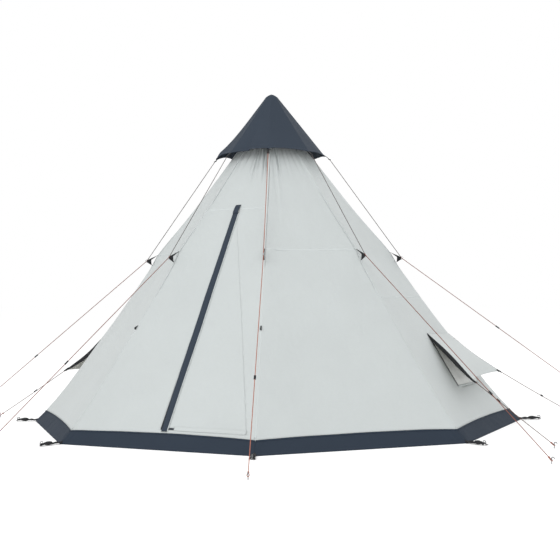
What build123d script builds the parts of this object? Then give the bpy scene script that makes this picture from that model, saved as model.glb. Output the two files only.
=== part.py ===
"""An eight-sided teepee tent on one centre pole, pitched and guyed out, in millimetres.

The origin is the centre of the groundsheet's underside, +Z is up and the door faces -Y.
Angles round the tent count from the door towards +X, so ridges lie at 22.5, 67.5 and so on.
"""

import os
from math import cos, hypot, pi, radians, sin

from build123d import *

os.makedirs("parts", exist_ok=True)

# Driving dimensions of the pitched tent
sides = 8
half_turn = 180.0 / sides  # a face's centre line to its ridge, in degrees
base_radius = 1950.0  # centre to a corner of the skirt's hem
skirt_height = 87.0
skirt_top_radius = 1860.0
wall_taper = 0.7637  # a ridge's fall in radius for each millimetre of height
canopy_top = 2410.0
cloth = 3.0  # a panel's thickness, measured along the radius
skirt_cloth = 4.0

# Cap over the apex
cap_hem_radius = 429.0
cap_hem_height = 2106.0
cap_tip_radius = 14.0
cap_tip_height = 2617.0
cap_cloth = 5.0

# Centre pole
pole_radius = 16.0
pole_wall = 1.2
spigot_length = 80.0
pole_joints = [920.0, 1740.0]  # heights where one section plugs into the next
pole_top_height = 2560.0
sheet_thickness = 2.5

# Guys: each ridge's angle, and its peg's radius and angle on the ground
patch_height = 1288.0  # where the guy leaves the patch's ring
ring_reach = 83.0  # the ring's centre stands this far out from the ridge
ring_radius = 12.0
ring_wire = 2.0
cord_radius = 2.5
guys = {
    "front_right": (22.5, 2802.0, 23.3),
    "right": (67.5, 2867.0, 60.5),
    "back_right": (112.5, 2730.0, 112.5),
    "rear_right": (157.5, 2691.0, 157.5),
    "rear_left": (-157.5, 2691.0, -157.5),
    "back_left": (-112.5, 2730.0, -112.5),
    "left": (-67.5, 2555.0, -68.0),
    "front_left": (-22.5, 2535.0, -22.0),
}
runner_share = {  # how far down the lower rope each runner sits
    "front_right": 0.62,
    "right": 0.72,
    "back_right": 0.44,
    "rear_right": 0.55,
    "rear_left": 0.55,
    "back_left": 0.50,
    "left": 0.60,
    "front_left": 0.58,
}
peg_radius = 3.0
peg_above_ground = 42.0
rope_end_height = 20.0

# Vent hoods, one in each side face. Points are (distance from the face's centre line, height).
hood_shape = [(0.0, 702.0), (-400.0, 238.0), (460.0, 275.0), (520.0, 680.0)]
vent_opening = [(4.0, 688.0), (-92.0, 326.0), (440.0, 318.0), (492.0, 655.0)]
hoods = {"right": (90.0, 19.5), "left": (-90.0, 19.5)}  # face's angle, opening angle
vent_guys = {  # hood, corner of its shape, peg's radius and angle
    "right": ("right", 1, 2500.0, 72.0),
    "back_right": ("right", 2, 2500.0, 128.0),
    "left": ("left", 2, 2340.0, -74.0),
    "back_left": ("left", 1, 2500.0, -108.0),
}
vent_runner_share = {"right": 0.30, "left": 0.45, "back_right": 0.64, "back_left": 0.60}
flap_stand_off = 5.0  # flap's inner face to the wall when shut
flap_cloth = 2.0

# Door in the face at angle 0
door_top = 1636.0
door_foot = 125.0
door_hinge_reach = 640.0  # door's foot corner to the face's centre line
zip_channel = 5.0  # gap between the two halves of the zip
zip_tape = 4.0
zip_park = 46.0  # length of channel above the door, where the slider parks
storm_width = 52.0
storm_stand_off = 9.0

# Corner fixings
strap_length = 84.0
buckle_length = 78.0

face_factor = cos(pi / sides)
face_slope = hypot(1.0, face_factor * wall_taper)  # slope length for each mm of height


def polar(radius, angle, height):
    """A point at a radius, an angle from the door and a height."""
    return Vector(radius * sin(radians(angle)), -radius * cos(radians(angle)), height)


def wall_radius(height):
    """Centre to ridge at a height, to the canopy's outer face."""
    return skirt_top_radius - wall_taper * (height - skirt_height)


def solid_of(faces):
    """A closed solid from flat faces, each a list of points."""
    return Solid(Shell([Face(Wire.make_polygon(points)) for points in faces]))


def block(outer, inner):
    """A solid between two four-cornered faces."""
    rims = [
        [outer[i], outer[(i + 1) % 4], inner[(i + 1) % 4], inner[i]] for i in range(4)
    ]
    return solid_of([outer, inner, *rims])


def facet(angle, low, high, thickness):
    """One flat panel between two ridges; low and high are (radius, height), outside."""
    ends = [(low, -1), (low, 1), (high, 1), (high, -1)]
    outer = [polar(r, angle + side * half_turn, z) for (r, z), side in ends]
    inner = [polar(r - thickness, angle + side * half_turn, z) for (r, z), side in ends]
    return block(outer, inner)


def frustum(low_radius, low, high_radius, high):
    """An eight-sided solid between two heights."""
    turns = [half_turn + i * 2 * half_turn for i in range(sides)]
    base = [polar(low_radius, turn, low) for turn in turns]
    top = [polar(high_radius, turn, high) for turn in turns]
    walls = [
        [base[i], base[(i + 1) % sides], top[(i + 1) % sides], top[i]]
        for i in range(sides)
    ]
    return solid_of([base, top, *walls])


def face_plane(angle, out=0.0):
    """A wall face's plane: x runs round the tent, y up the slope, z outwards."""
    foot = polar(wall_radius(0.0) * face_factor, angle, 0.0)
    across = Vector(cos(radians(angle)), sin(radians(angle)), 0.0)
    outwards = (polar(1.0, angle, 0.0) + Vector(0, 0, face_factor * wall_taper)).normalized()
    return Plane(origin=foot + outwards * out, x_dir=across, z_dir=outwards)


def sheet_on(angle, points, inner, outer):
    """A flat sheet on a wall face; points are (distance across, height)."""
    plane = face_plane(angle, inner)
    outline = [(x, z * face_slope) for x, z in points]
    flat = make_face(Polyline(*outline, close=True))
    return extrude(plane * flat, amount=outer - inner, dir=plane.z_dir)


def save(name, *solids):
    """Writes one node's solids."""
    shape = solids[0] if len(solids) == 1 else Compound(children=list(solids))
    export_step(shape, f"parts/{name}.step")


def upright(radius, height):
    """A cylinder that stands on its own origin."""
    return Cylinder(radius, height, align=(Align.CENTER, Align.CENTER, Align.MIN))


def ring_centre(angle):
    return polar(wall_radius(patch_height) + ring_reach, angle, patch_height)


def make_canopy():
    """Seven plain or vented gores, and the face that holds the door."""
    low = (skirt_top_radius, skirt_height)
    high = (wall_radius(canopy_top), canopy_top)
    names = {
        "gore_front_right": 45.0,
        "gore_right": 90.0,
        "gore_back_right": 135.0,
        "gore_back": 180.0,
        "gore_back_left": -135.0,
        "gore_left": -90.0,
        "gore_front_left": -45.0,
    }
    vented = [angle for angle, _ in hoods.values()]
    for name, angle in names.items():
        gore = facet(angle, low, high, cloth)
        if angle in vented:
            gore = gore - sheet_on(angle, vent_opening, -2 * cloth, 2 * cloth)
        save(name, gore)
    surround = facet(0.0, low, high, cloth)
    edge = zip_channel / 2 + zip_tape
    doorway = [
        (-edge, door_foot - edge),
        (door_hinge_reach, door_foot - edge),
        (door_hinge_reach, door_foot),
        (edge, door_top),
        (-edge, door_top),
    ]
    park = [
        (-zip_channel / 2, door_top - 1.0),
        (zip_channel / 2, door_top - 1.0),
        (zip_channel / 2, door_top + zip_park),
        (-zip_channel / 2, door_top + zip_park),
    ]
    surround = surround - sheet_on(0.0, doorway, -2 * cloth, 2 * cloth)
    surround = surround - sheet_on(0.0, park, -2 * cloth, 2 * cloth)
    save("door_surround", surround)


def leaf_fold():
    """The leaf's fold line as (distance across, height): its foot and its top."""
    edge = zip_channel / 2 + zip_tape
    gap = 6.0  # from the fold to the surround, measured across
    rise = (door_top - door_foot) / (door_hinge_reach - edge)
    return [
        (door_hinge_reach - gap - edge / rise, door_foot + edge),
        (edge, door_top - gap * rise),
    ]


def make_door():
    """The leaf, its storm flap, both halves of the zip, the slider and its pull."""
    edge = zip_channel / 2 + zip_tape
    top_gap = 1.5  # the zip's top end to the edge of the doorway
    save("door_leaf", sheet_on(0.0, [*leaf_fold(), (edge, door_foot + edge)], -1.9, 0.0))
    root_zip = [
        (-edge, door_foot - edge),
        (door_hinge_reach - 4.0, door_foot - edge),
        (door_hinge_reach - 4.0, door_foot - zip_channel / 2),
        (-zip_channel / 2, door_foot - zip_channel / 2),
        (-zip_channel / 2, door_top - top_gap),
        (-edge, door_top - top_gap),
    ]
    leaf_zip = [
        (zip_channel / 2, door_foot + zip_channel / 2),
        (door_hinge_reach - 30.0, door_foot + zip_channel / 2),
        (door_hinge_reach - 30.0, door_foot + edge),
        (edge, door_foot + edge),
        (edge, door_top - 60.0),
        (zip_channel / 2, door_top - 60.0),
    ]
    save("door_zip", sheet_on(0.0, root_zip, -2.0, 0.4))
    save("leaf_zip", sheet_on(0.0, leaf_zip, -1.9, 0.4))
    # The storm flap is sewn to the leaf along its right edge and laps the zip.
    right_edge = edge + 31.0
    seam_edge = right_edge - 14.0  # clear of the slider's plates
    lap = [
        (seam_edge, door_foot + 10.0),
        (right_edge, door_foot + 10.0),
        (right_edge, door_top - 140.0),
        (seam_edge, door_top - 140.0),
    ]
    cover = [
        (right_edge - storm_width, door_foot + 4.0),
        (right_edge, door_foot + 4.0),
        (right_edge, door_top - 140.0),
        (edge, door_top - 60.0),
        (edge, door_top - 16.0),
        (right_edge - storm_width, door_top - 16.0),
    ]
    seam = sheet_on(0.0, lap, 0.4, storm_stand_off)
    flap = sheet_on(0.0, cover, storm_stand_off, storm_stand_off + flap_cloth)
    save("storm_flap", seam + flap)
    # The slider: an outer plate, a neck in the zip's channel and an inner plate.
    centre = door_top + zip_park / 2
    half_length = 11.0
    plates = [
        (7.0, half_length, 0.9, 4.5),
        (1.6, half_length - 3.0, -cloth - 1.2, 0.9),
        (7.0, half_length, -cloth - 4.6, -cloth - 1.2),
    ]
    slider = None
    for half_width, half_height, inner, outer in plates:
        corners = [(-half_width, -half_height), (half_width, -half_height)]
        corners += [(half_width, half_height), (-half_width, half_height)]
        piece = sheet_on(0.0, [(x, centre + z) for x, z in corners], inner, outer)
        slider = piece if slider is None else slider + piece
    hinge = face_plane(0.0, -cloth - 9.0).from_local_coords(Vector(0, centre * face_slope, 0))
    bail_pin = Plane(origin=hinge, x_dir=Vector(0, 0, 1), z_dir=Vector(1, 0, 0))
    lugs = [
        extrude(bail_pin.offset(x) * Circle(4.2), amount=2.0) for x in (-6.4, 4.4)
    ]
    pin = extrude(bail_pin.offset(-4.4) * Circle(1.0), amount=8.8)
    for x in (-6.4, 4.4):
        low, high = centre - 3.0, centre + 3.0
        ear = [(x, low), (x + 2.0, low), (x + 2.0, high), (x, high)]
        slider += sheet_on(0.0, ear, -cloth - 9.0, -cloth - 4.4)
    save("zip_slider", slider + lugs[0] + lugs[1] + pin)
    pull = Box(8.0, 3.2, 44.0, align=(Align.CENTER, Align.CENTER, Align.MAX))
    eye = Cylinder(3.0, 8.0, rotation=(0, 90, 0))
    bore = Cylinder(1.05, 8.2, rotation=(0, 90, 0))
    save("zip_pull", Pos(*hinge) * (pull + eye - bore))
    print("zip pull hinge", [round(v, 2) for v in hinge])


def make_skirt_and_floor():
    low = (base_radius, 0.0)
    high = (skirt_top_radius, skirt_height)
    panels = [facet(i * 2 * half_turn, low, high, skirt_cloth) for i in range(sides)]
    save("skirt", *panels)
    save("groundsheet", frustum(base_radius - 8.0, 0.0, base_radius - 8.0, sheet_thickness))


def make_cap():
    outer = frustum(cap_hem_radius, cap_hem_height, cap_tip_radius, cap_tip_height)
    inner = frustum(
        cap_hem_radius - cap_cloth,
        cap_hem_height - 0.01,
        cap_tip_radius - cap_cloth,
        cap_tip_height - cap_cloth,
    )
    save("cap", outer - inner)
    tabs = []
    for angle, _, _ in guys.values():
        place = Location(polar(cap_hem_radius, angle, cap_hem_height), (0, 0, angle - 90))
        strip = Pos(12, 0, -1) * Box(32, 18, 2)
        loop = Pos(34, 0, -1) * (Cylinder(10, 2) - Cylinder(6.5, 2))
        tabs.append(place * (strip + loop))
    save("cap_tabs", *tabs)


def make_pole():
    """The foot, three plugged sections, the domed top and the cone sewn round it."""
    floor = sheet_thickness
    foot = Pos(0, 0, floor) * (upright(26, 8) + upright(20, 26))
    foot -= Pos(0, 0, floor + 8) * upright(pole_radius, 26)
    save("pole_foot", foot)
    starts = [floor + 8.0, *pole_joints]
    ends = [*pole_joints, pole_top_height]
    spigot_radius = pole_radius - pole_wall - 0.2
    neck = 10.0
    for i, name in enumerate(["pole_lower", "pole_middle", "pole_upper"]):
        length = ends[i] - starts[i]
        tube = upright(pole_radius, length) - upright(pole_radius - pole_wall, length)
        if i:
            bore = upright(spigot_radius - pole_wall, spigot_length + neck)
            spigot = upright(spigot_radius, spigot_length + neck)
            spigot += Pos(0, 0, spigot_length) * upright(pole_radius - 0.6, neck)
            tube += Pos(0, 0, -spigot_length) * (spigot - bore)
        save(name, Pos(0, 0, starts[i]) * tube)
    top = Pos(0, 0, pole_top_height) * upright(30, 10)
    top += Pos(0, 0, pole_top_height + 10) * Cone(
        30, 12, 26, align=(Align.CENTER, Align.CENTER, Align.MIN)
    )
    top += Pos(0, 0, pole_top_height - 40) * upright(spigot_radius, 40)
    save("pole_top", top)
    low_radius = wall_radius(canopy_top)
    collar = frustum(low_radius, canopy_top, 30.0, pole_top_height - 6.0)
    collar -= frustum(low_radius - cloth, canopy_top - 0.01, 27.0, pole_top_height - 10.0)
    collar -= Pos(0, 0, canopy_top) * upright(pole_radius + 1.0, 200)
    save("apex_collar", collar)


def make_patches():
    """A triangular patch on each ridge that holds the guy's ring, and two small loops in front."""
    patches = []
    rings = []
    for angle, _, _ in guys.values():
        upper = patch_height + 46.0
        lower = patch_height - 34.0
        fin = [
            (wall_radius(upper) + 1.0, upper),
            (wall_radius(lower) + 1.0, lower),
            (wall_radius(patch_height) + ring_reach - ring_radius + 1.0, patch_height),
        ]
        sideways = polar(1.0, angle - 90.0, 0.0)
        plane = Plane(origin=(0, 0, 0), x_dir=polar(1.0, angle, 0.0), z_dir=sideways)
        flip = 1.0 if plane.y_dir.Z > 0 else -1.0
        outline = make_face(Polyline(*[(r, flip * z) for r, z in fin], close=True))
        patches.append(extrude(plane * outline, amount=6.0, both=True))
        if abs(angle) == half_turn:
            loop_height = patch_height - 510.0
            loop = [
                (wall_radius(loop_height + 14.0) + 0.5, loop_height + 14.0),
                (wall_radius(loop_height - 14.0) + 0.5, loop_height - 14.0),
                (wall_radius(loop_height) + 20.0, loop_height),
            ]
            outline = make_face(Polyline(*[(r, flip * z) for r, z in loop], close=True))
            patches.append(extrude(plane * outline, amount=8.0, both=True))
        ring = Torus(ring_radius, ring_wire)
        slope = Location(ring_centre(angle), (0, 0, angle - 90)) * Rotation(0, 40, 0)
        rings.append(slope * Rotation(90, 0, 0) * ring)
    save("guy_patches", *patches)
    save("patch_rings", *rings)


def hood_hinge(angle):
    """The line a hood turns about, along its upper edge."""
    plane = face_plane(angle, flap_stand_off)
    start, end = [
        plane.from_local_coords(Vector(x, z * face_slope, 0))
        for x, z in (hood_shape[0], hood_shape[3])
    ]
    return Axis(start, end - start)


def hood_corner(name, corner):
    """A free corner of a propped hood."""
    angle, opening = hoods[name]
    x, z = hood_shape[corner]
    shut = face_plane(angle, flap_stand_off).from_local_coords(Vector(x, z * face_slope, 0))
    hinge = hood_hinge(angle)
    arm = (shut - hinge.position).rotate(Axis((0, 0, 0), hinge.direction), -opening)
    return hinge.position + arm


def make_vents():
    meshes = []
    bindings = []
    for name, (angle, opening) in hoods.items():
        meshes.append(sheet_on(angle, vent_opening, -cloth * 0.6, -cloth * 0.2))
        centre = [sum(p[k] for p in vent_opening) / 4 for k in (0, 1)]
        wide = [tuple(c + (p - c) * 1.045 for p, c in zip(point, centre)) for point in vent_opening]
        bindings.append(sheet_on(angle, wide, 0.0, 1.6) - sheet_on(angle, vent_opening, -1.0, 2.0))
        flap = sheet_on(angle, hood_shape, flap_stand_off, flap_stand_off + flap_cloth)
        hinge = hood_hinge(angle)
        save(f"vent_hood_{name}", flap.rotate(hinge, -opening))
        print("hood", name, [round(v, 2) for v in hinge.position], [round(v, 5) for v in hinge.direction])
        print("  corners", [[round(v) for v in hood_corner(name, k)] for k in (1, 2)])
    save("vent_meshes", *meshes)
    save("vent_bindings", *bindings)


def make_corners():
    straps = []
    buckles = []
    pegs = []
    for angle, _, _ in guys.values():
        place = Location(polar(base_radius, angle, 0.0), (0, 0, angle - 90))
        for side in (-1, 1):
            turned = Pos(strap_length / 2 - 8, side * 6, 8) * Rotation(0, 0, -side * 4)
            straps.append(place * turned * Box(strap_length, 8, 2))
        start = strap_length - 20
        body = [(0, -9), (22, -13), (buckle_length, -5), (buckle_length, 5), (22, 13), (0, 9)]
        outline = make_face(Polyline(*body, close=True))
        clip = Pos(start, 0, 3) * extrude(outline, amount=9)
        clip -= Pos(start + 12, 0, 8) * Box(28, 18.5, 3.0)
        buckles.append(place * clip)
        hook = Pos(start + buckle_length + 6, 0, 0) * upright(peg_radius, 30)
        bar = Pos(start + buckle_length - 4, 0, 28) * Box(26, 6, 5)
        pegs.append(place * (hook + bar))
    save("corner_straps", *straps)
    save("strap_buckles", *buckles)
    save("corner_pegs", *pegs)


def tube(points, radii):
    """A cord: straight runs joined by arcs, and its volume against section times length."""
    path = FilletPolyline(*points, radius=radii) if len(points) > 2 else Polyline(*points)
    start = path @ 0
    cord = sweep(Plane(origin=start, z_dir=path % 0) * Circle(cord_radius), path=path)
    expected = pi * cord_radius**2 * path.length
    print("  cord length", round(path.length), "volume share", round(cord.volume / expected, 4))
    return cord


def runner_on(start, end, share):
    """A runner threaded on a straight stretch of rope."""
    along = end - start
    centre = start + along * share
    plane = Plane(origin=centre, x_dir=along.cross(Vector(0, 0, 1)), z_dir=along)
    body = plane * (Box(12, 10, 36) - Cylinder(cord_radius + 0.6, 40))
    print("  runner axis", [round(v, 5) for v in along.normalized()])
    return body


def make_guys():
    pegs = []
    for name, (angle, radius, peg_angle) in guys.items():
        tab = polar(cap_hem_radius + 38.0, angle, cap_hem_height - 3.0)
        ring = ring_centre(angle)
        peg = polar(radius, peg_angle, rope_end_height)
        print("guy", name)
        save(f"guy_rope_{name}", tube([tab, ring, peg], [60.0]))
        save(f"runner_{name}", runner_on(ring, peg, runner_share[name]))
        pegs.append(peg_at(radius, peg_angle))
    for name, (hood, k, radius, peg_angle) in vent_guys.items():
        corner = hood_corner(hood, k)
        peg = polar(radius, peg_angle, rope_end_height)
        start = corner + (peg - corner).normalized() * 14.0
        print("vent guy", name)
        save(f"vent_guy_{name}", tube([start, peg], []))
        save(f"vent_runner_{name}", runner_on(start, peg, vent_runner_share[name]))
        pegs.append(peg_at(radius, peg_angle))
    save("guy_pegs", *pegs)


def peg_at(radius, angle):
    """The part of a wire peg that stands above the ground, with its hook over the rope."""
    shaft = upright(peg_radius, peg_above_ground)
    hook = Pos(9, 0, peg_above_ground - peg_radius) * Box(24, 2 * peg_radius, 2 * peg_radius)
    return Location(polar(radius, angle, 0.0), (0, 0, angle - 90)) * (shaft + hook)


make_canopy()
make_door()
make_skirt_and_floor()
make_cap()
make_pole()
make_patches()
make_vents()
make_corners()
make_guys()
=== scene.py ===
import math

import bpy
import numpy as np
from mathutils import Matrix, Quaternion, Vector


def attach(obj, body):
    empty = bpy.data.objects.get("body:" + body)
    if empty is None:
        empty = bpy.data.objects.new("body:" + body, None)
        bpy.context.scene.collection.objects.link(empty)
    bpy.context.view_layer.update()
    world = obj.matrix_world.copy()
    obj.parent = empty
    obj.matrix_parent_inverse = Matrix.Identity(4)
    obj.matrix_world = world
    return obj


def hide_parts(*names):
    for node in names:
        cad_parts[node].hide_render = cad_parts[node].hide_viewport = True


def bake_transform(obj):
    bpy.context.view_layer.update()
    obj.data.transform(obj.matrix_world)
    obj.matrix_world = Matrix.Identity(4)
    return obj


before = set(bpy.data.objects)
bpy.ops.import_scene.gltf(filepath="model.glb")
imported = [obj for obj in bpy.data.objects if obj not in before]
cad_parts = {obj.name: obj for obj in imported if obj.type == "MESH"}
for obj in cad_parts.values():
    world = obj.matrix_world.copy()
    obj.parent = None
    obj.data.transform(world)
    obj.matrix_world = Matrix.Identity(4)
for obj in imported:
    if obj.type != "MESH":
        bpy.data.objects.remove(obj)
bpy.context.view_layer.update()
dice = np.random.default_rng(23)
up = np.array([0.0, 0.0, 1.0])
halfAngle = math.pi / 8  # half of a face's turn round the pole

# camera, light and floor: degrees, metres, and millimetres for the lens
view = {
    "turn": 26.34, "distance": 8.648, "height": 0.989, "aside": -0.0061, "rise": 0.0155, "tilt": -0.594,
    "lens": 69.2, "sensor": 36.0, "farthest": 200.0,
}
lamps = {  # place, size, watts
    "key": ((-3.5, -9.0, 7.5), 7.0, 350.0),
    "fill": ((8.5, -7.0, 5.0), 7.0, 230.0),
    "back": ((1.0, 8.0, 8.0), 7.0, 160.0),
}
studioFloor = {"reach": 80, "height": -0.0015, "colour": (1.0, 1.0, 1.0)}


def addObject(name, data):
    item = bpy.data.objects.new(name, data)
    bpy.context.scene.collection.objects.link(item)
    return item


def makeView():
    turn, distance = math.radians(view["turn"]), view["distance"]
    lens = bpy.data.cameras.new("camera")
    lens.lens, lens.sensor_width, lens.clip_end = view["lens"], view["sensor"], view["farthest"]
    camera = addObject("camera", lens)
    camera.location = (math.sin(turn) * distance, -math.cos(turn) * distance, view["height"])
    heading = turn + view["aside"]
    look = Vector((-math.sin(heading), math.cos(heading), view["rise"]))
    tilt = Quaternion((0, 0, 1), math.radians(view["tilt"]))
    camera.rotation_euler = (look.to_track_quat("-Z", "Y") @ tilt).to_euler()
    bpy.context.scene.camera = camera
    for name, (place, size, watts) in lamps.items():
        lamp = bpy.data.lights.new(name, "AREA")
        lamp.size, lamp.energy = size, watts
        item = addObject(name, lamp)
        item.location = place
        item.rotation_euler = (Vector((0, 0, 0.9)) - Vector(place)).to_track_quat("-Z", "Y").to_euler()
    world = bpy.data.worlds.new("studio")
    bpy.context.scene.world = world
    world.use_nodes = True
    background = world.node_tree.nodes["Background"]
    background.inputs["Color"].default_value = (1.0, 1.0, 1.0, 1.0)
    background.inputs["Strength"].default_value = 1.0
    bpy.context.scene.view_settings.view_transform = "Standard"


def makeFloor():
    reach, height = studioFloor["reach"], studioFloor["height"]
    corners = [(x * reach, y * reach, height) for x, y in ((-1, -1), (1, -1), (1, 1), (-1, 1))]
    mesh = bpy.data.meshes.new("floor")
    mesh.from_pydata(corners, [], [(0, 1, 2, 3)])
    mesh.materials.append(startMaterial("studioFloor", studioFloor["colour"], 1.0, specular=0.0)[0])
    addObject("floor", mesh)


# materials
def part(tree, kind, inputs=None, **settings):
    item = tree.nodes.new("ShaderNode" + kind)
    for key, value in settings.items():
        setattr(item, key, value)
    for key, value in (inputs or {}).items():
        if isinstance(value, bpy.types.NodeSocket):
            tree.links.new(value, item.inputs[key])
        else:
            item.inputs[key].default_value = value
    return item


def rgba(colour, gain=1.0):
    return (*[min(1.0, c * gain) for c in colour], 1.0)


def noise(tree, place, scale, **more):
    inputs = {"Vector": place, "Scale": scale, **{key.capitalize(): value for key, value in more.items()}}
    return part(tree, "TexNoise", inputs).outputs["Fac"]


def maths(tree, operation, *values):
    return part(tree, "Math", dict(enumerate(values)), operation=operation).outputs[0]


def mixed(tree, factor, low, high, blend="MIX"):
    return part(tree, "Mix", {0: factor, 6: low, 7: high}, data_type="RGBA", blend_type=blend).outputs[2]


def shades(tree, factor, colour, dark, light):
    return mixed(tree, factor, rgba(colour, dark), rgba(colour, light))


def relief(tree, height, strength, distance, under=None):
    inputs = {"Height": height, "Strength": strength, "Distance": distance}
    if under is not None:
        inputs["Normal"] = under
    return part(tree, "Bump", inputs).outputs[0]


def feed(tree, shader, sockets):
    for key, value in sockets.items():
        tree.links.new(value, shader.inputs[key])


def startMaterial(name, colour, roughness, metallic=0.0, specular=0.5):
    material = bpy.data.materials.new(name)
    material.use_nodes = True
    material.diffuse_color = rgba(colour)
    tree = material.node_tree
    shader = tree.nodes["Principled BSDF"]
    shader.inputs["Base Color"].default_value = rgba(colour)
    shader.inputs["Roughness"].default_value = roughness
    shader.inputs["Metallic"].default_value = metallic
    shader.inputs["Specular IOR Level"].default_value = specular
    return material, tree, shader


def threads(tree, uv, pitch):
    # over and under of two sets of threads: a sine across the cloth times a sine along it
    split = part(tree, "SeparateXYZ", {0: uv}).outputs
    waves = [maths(tree, "SINE", maths(tree, "MULTIPLY", split[axis], 2 * math.pi / pitch)) for axis in "XY"]
    return maths(tree, "MULTIPLY", *waves)


def clothMaterial(name, colour, roughness=0.62, pitch=0.0011, mottle=0.05, glow=0.0, sheen=0.15):
    # plain weave: threads on the cloth's own uv, soft mottling and fine creases in object space
    material, tree, shader = startMaterial(name, colour, roughness, specular=0.2)
    place = part(tree, "TexCoord").outputs
    broad = noise(tree, place["Object"], 2.3, detail=4.0, roughness=0.55)
    fine = noise(tree, place["Object"], 60.0, detail=3.0, roughness=0.6)
    shade = shades(tree, broad, colour, 1.0 - mottle, 1.0 + mottle)
    grain = mixed(tree, fine, rgba((0.95, 0.95, 0.95)), rgba((1.0, 1.0, 1.0)))
    stretched = part(tree, "Mapping", {"Vector": place["Object"], "Scale": (1.0, 1.0, 0.35)}).outputs[0]
    creases = relief(tree, noise(tree, stretched, 7.0, detail=5.0, roughness=0.5, distortion=0.6), 0.7, 0.0072)
    weave = relief(tree, threads(tree, place["UV"], pitch), 0.35, 0.00025, creases)
    feed(tree, shader, {"Base Color": mixed(tree, 1.0, shade, grain, "MULTIPLY"), "Normal": weave})
    shader.inputs["Sheen Weight"].default_value = sheen
    shader.inputs["Sheen Roughness"].default_value = 0.5
    if glow:  # thin pale cloth lets some light through
        through = part(tree, "BsdfTranslucent", {"Color": rgba(colour, 0.98), "Normal": creases})
        both = part(tree, "MixShader", {0: glow, 1: shader.outputs[0], 2: through.outputs[0]})
        tree.links.new(both.outputs[0], tree.nodes["Material Output"].inputs["Surface"])
    return material


def webbingMaterial(name, colour):
    # ribbed narrow cloth: a sine across the tape's uv times one along it, and wear in object space
    material, tree, shader = startMaterial(name, colour, 0.78, specular=0.3)
    place = part(tree, "TexCoord").outputs
    wear = noise(tree, place["Object"], 45.0, detail=4.0)
    feed(tree, shader, {"Base Color": shades(tree, wear, colour, 0.75, 1.5),
                        "Normal": relief(tree, threads(tree, place["UV"], 0.0026), 0.7, 0.0005)})
    shader.inputs["Sheen Weight"].default_value = 0.05
    return material


def cordMaterial(name, colour, upper=None, height=1.30):
    # braid: the higher of two sets of slanted bands in object space, and a second colour above a height
    material, tree, shader = startMaterial(name, colour, 0.7, specular=0.3)
    place = part(tree, "TexCoord").outputs["Object"]
    bands = []
    for turn in (0.9, -0.9):
        slanted = part(tree, "Mapping", {"Vector": place, "Rotation": (turn, 0.4, turn)}).outputs[0]
        bands.append(part(tree, "TexWave", {"Vector": slanted, "Scale": 190.0, "Distortion": 0.4}).outputs["Fac"])
    braid = maths(tree, "MAXIMUM", *bands)
    shade = shades(tree, braid, colour, 0.72, 1.08)
    if upper:
        above = maths(tree, "GREATER_THAN", part(tree, "SeparateXYZ", {0: place}).outputs["Z"], height)
        shade = mixed(tree, above, shade, shades(tree, braid, upper, 0.7, 1.15))
    feed(tree, shader, {"Base Color": shade, "Normal": relief(tree, braid, 0.6, 0.0004)})
    return material


def mouldedMaterial(name, colour, roughness, grain=90.0, metallic=0.0, brushed=None):
    # moulded or drawn stock: fine grain in colour and relief, and a slow drift of roughness
    material, tree, shader = startMaterial(name, colour, roughness, metallic, specular=0.3)
    place = part(tree, "TexCoord").outputs["Object"]
    source = part(tree, "Mapping", {"Vector": place, "Scale": brushed}).outputs[0] if brushed else place
    fine = noise(tree, source, grain, detail=5.0)
    drift = noise(tree, place, 14.0, detail=2.0)
    limits = {"Value": drift, "To Min": roughness * 0.8, "To Max": min(1.0, roughness * 1.25)}
    feed(tree, shader, {"Roughness": part(tree, "MapRange", limits).outputs[0],
                        "Base Color": shades(tree, fine, colour, 0.85, 1.15),
                        "Normal": relief(tree, fine, 0.3, 0.0003)})
    return material


def netMaterial(name, colour, pitch=0.0022, thread=0.30):
    # insect net: opaque where either set of threads passes, clear between them
    material, tree, shader = startMaterial(name, colour, 0.8, specular=0.2)
    place = part(tree, "TexCoord").outputs
    split = part(tree, "SeparateXYZ", {0: place["UV"]}).outputs
    within = [maths(tree, "FRACT", maths(tree, "MULTIPLY", split[axis], 1.0 / pitch)) for axis in "XY"]
    bars = [maths(tree, "LESS_THAN", cell, thread) for cell in within]
    tint = noise(tree, place["Object"], 20.0)
    feed(tree, shader, {"Base Color": shades(tree, tint, colour, 0.85, 1.1), "Alpha": maths(tree, "MAXIMUM", *bars)})
    return material


paleCloth = clothMaterial("paleCloth", (0.555, 0.590, 0.588), glow=0.16)
navyCloth = clothMaterial("navyCloth", (0.030, 0.041, 0.058), roughness=0.82, mottle=0.10, sheen=0.0)
skirtCloth = clothMaterial("skirtCloth", (0.021, 0.031, 0.047), roughness=0.82, mottle=0.12, sheen=0.0)
# painted shade: the hood's underside is the same pale cloth in shade with light showing through, painted as a warm
# beige cloth of its own
undersideShadeCloth = clothMaterial("undersideShadeCloth", (0.60, 0.585, 0.54), glow=0.16)
floorCloth = clothMaterial("floorCloth", (0.075, 0.085, 0.10), roughness=0.5, pitch=0.0030, mottle=0.15)
seamCloth = clothMaterial("seamCloth", (0.50, 0.535, 0.533), mottle=0.03, sheen=0.0)
blackWebbing = webbingMaterial("blackWebbing", (0.009, 0.010, 0.012))
paleWebbing = webbingMaterial("paleWebbing", (0.45, 0.48, 0.48))
orangeCord = cordMaterial("orangeCord", (0.34, 0.115, 0.075))
twoToneCord = cordMaterial("twoToneCord", (0.20, 0.066, 0.046), (0.085, 0.072, 0.068))
ventGuyCord = cordMaterial("ventGuyCord", (0.11, 0.062, 0.050))
blackPlastic = mouldedMaterial("blackPlastic", (0.012, 0.013, 0.015), 0.62)
zipTape = webbingMaterial("zipTape", (0.03, 0.035, 0.042))
zipMetal = mouldedMaterial("zipMetal", (0.03, 0.03, 0.032), 0.32, metallic=0.7)
pegSteel = mouldedMaterial("pegSteel", (0.21, 0.215, 0.22), 0.42, metallic=1.0, brushed=(1, 1, 8))
ringSteel = mouldedMaterial("ringSteel", (0.55, 0.56, 0.57), 0.28, metallic=1.0)
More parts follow.
